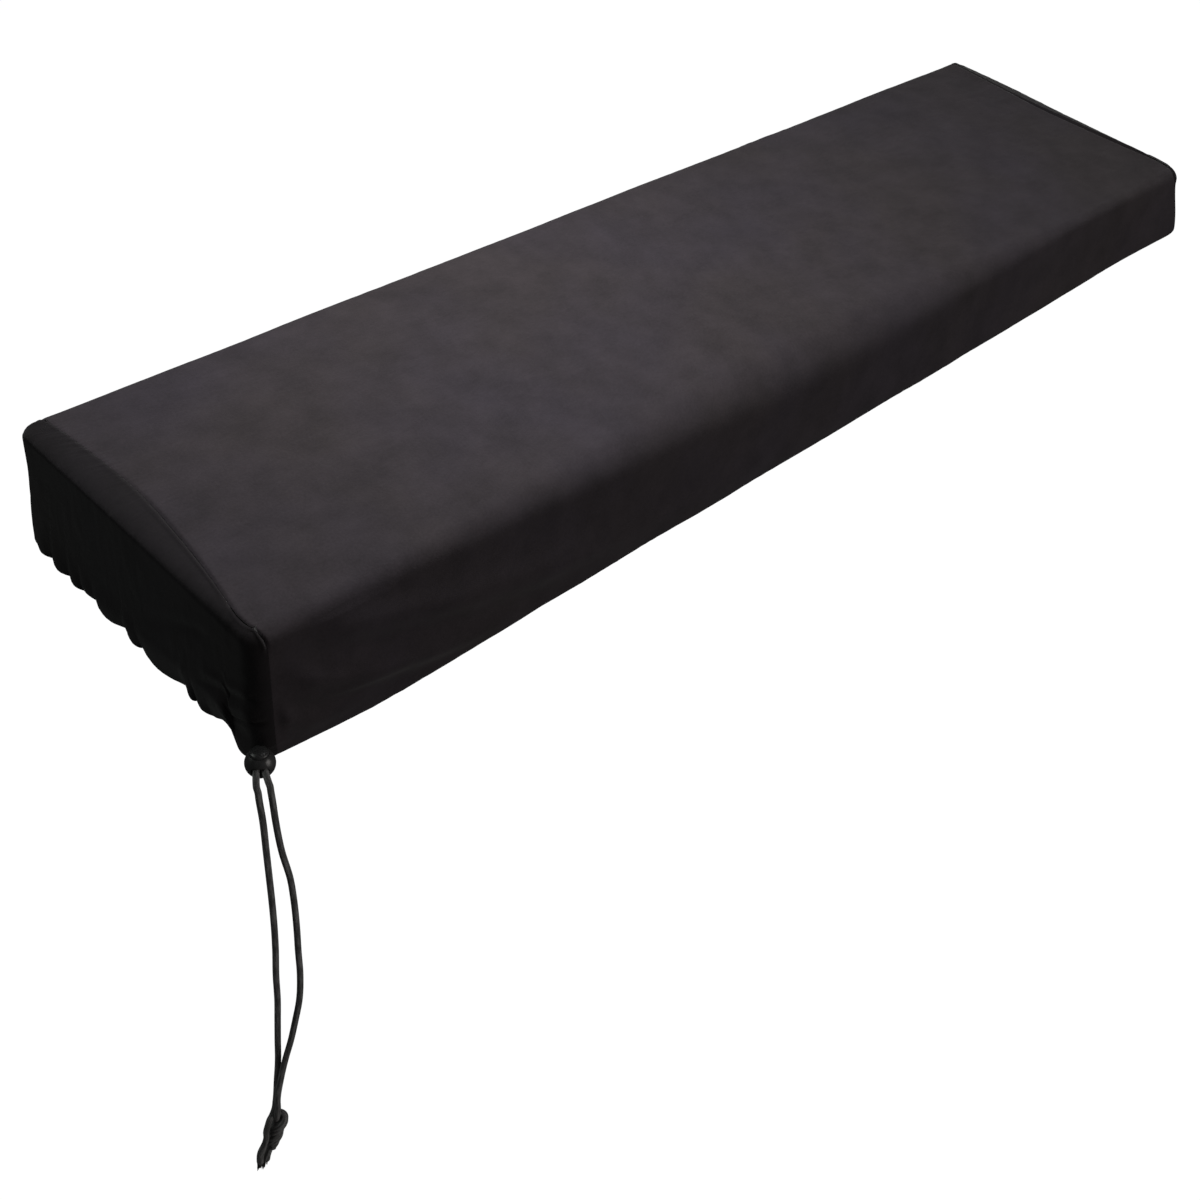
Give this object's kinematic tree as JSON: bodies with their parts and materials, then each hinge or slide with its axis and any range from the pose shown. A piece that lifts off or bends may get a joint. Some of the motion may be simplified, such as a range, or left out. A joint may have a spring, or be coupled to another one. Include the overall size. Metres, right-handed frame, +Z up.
{
  "type": "piano keyboard cover",
  "caption": "Fitted dust cover in stretch cloth for a full-length piano keyboard: hollow, open below, with a gathered drawstring hem, a ball cord lock and a knotted cord.",
  "frame": {"origin": "under the middle of the cover's top, on the cloth's inner face, where the keyboard's top holds it up", "axes": "+X along the keyboard to its right end, +Y to its back, +Z up; the cord lock hangs at the front left corner"},
  "size_m": [1.3869, 0.3657, 0.6559],
  "materials": {
    "cloth": "matte stretch knit",
    "plastic": "gloss",
    "cord": "braided, semi-matte"
  },
  "bodies": {
    "cover": {"main_panel": "cloth", "end_panel_left": "cloth", "end_panel_right": "cloth", "lock_body": "plastic", "cord_left": "cord", "cord_right": "cord", "cord_knot": "cord", "cord_tail_left": "cord", "cord_tail_right": "cord"},
    "button": {"lock_button": "plastic"}
  },
  "joints": [
    {"name": "lock_button_press", "type": "slide", "parent": "cover", "child": "button", "axis": [0, 0, -1], "range_m": [0, 0.003], "stiffness_N_per_m": 500, "springref_m": -0.003}
  ]
}
